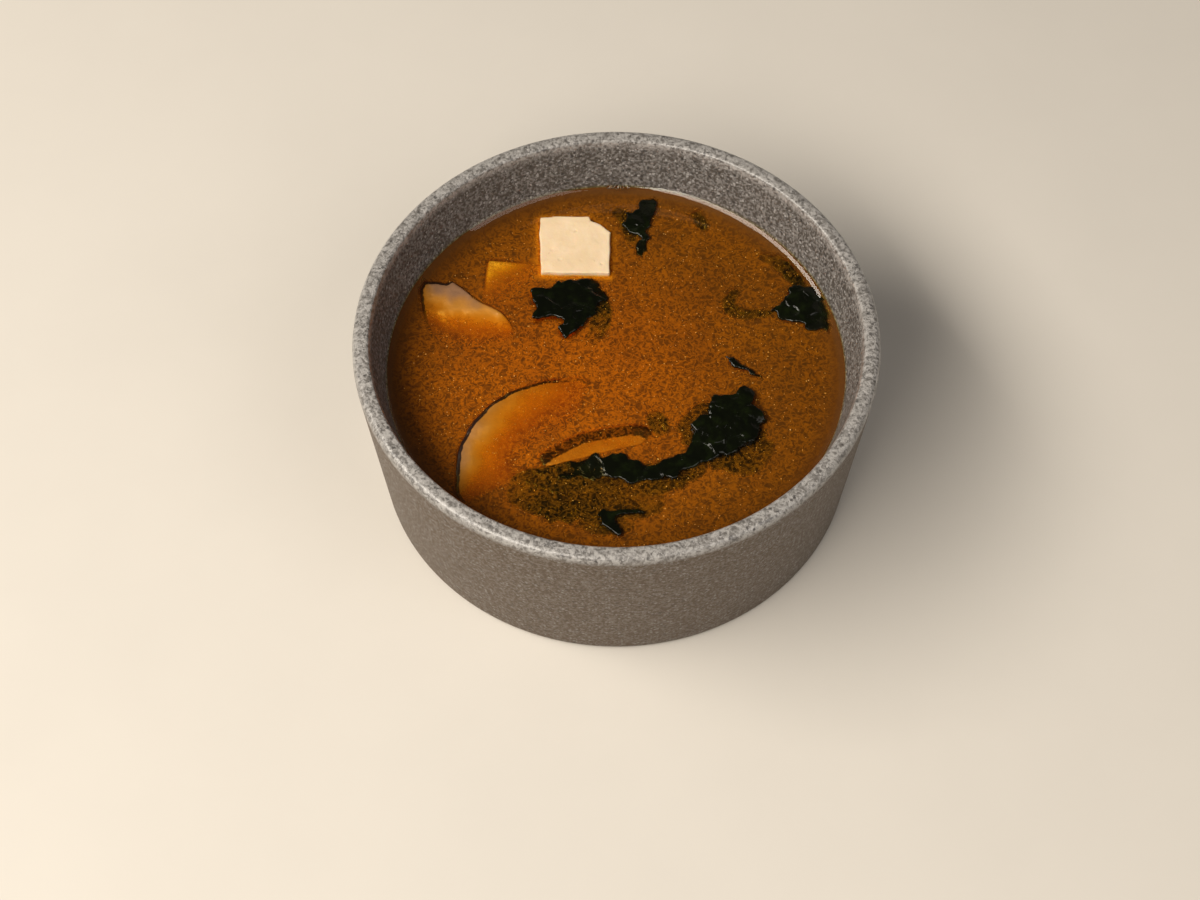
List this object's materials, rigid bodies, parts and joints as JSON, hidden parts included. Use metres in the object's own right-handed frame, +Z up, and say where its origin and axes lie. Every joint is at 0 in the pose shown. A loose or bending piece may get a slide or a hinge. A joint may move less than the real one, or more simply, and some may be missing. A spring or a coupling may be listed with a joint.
{
  "type": "miso soup",
  "caption": "Straight-sided speckled stoneware bowl of miso soup with tofu, mushroom slices and seaweed leaves at its surface.",
  "frame": {"origin": "middle of the bowl's base, on the surface it stands on", "axes": "+Z up through the bowl's open top, +X to the right and +Y to the back as the bowl is seen from its front"},
  "size_m": [0.13, 0.13, 0.051],
  "materials": {
    "stoneware": "matt speckled glaze",
    "broth": "wet, cloudy amber soup",
    "tofu": "moist, finely pored",
    "mushroom": "wet, with a dark skin at the edge",
    "seaweed": "wet, nearly black green"
  },
  "bodies": {
    "root": {"bowl": "stoneware", "soup": "broth", "tofu": "tofu", "mushroom_left": "mushroom", "mushroom_front": "mushroom", "mushroom_middle": "mushroom", "wakame_strap": "seaweed", "wakame_tofu": "seaweed", "wakame_right": "seaweed", "wakame_back": "seaweed", "wakame_sliver": "seaweed", "wakame_front": "seaweed"}
  },
  "joints": []
}
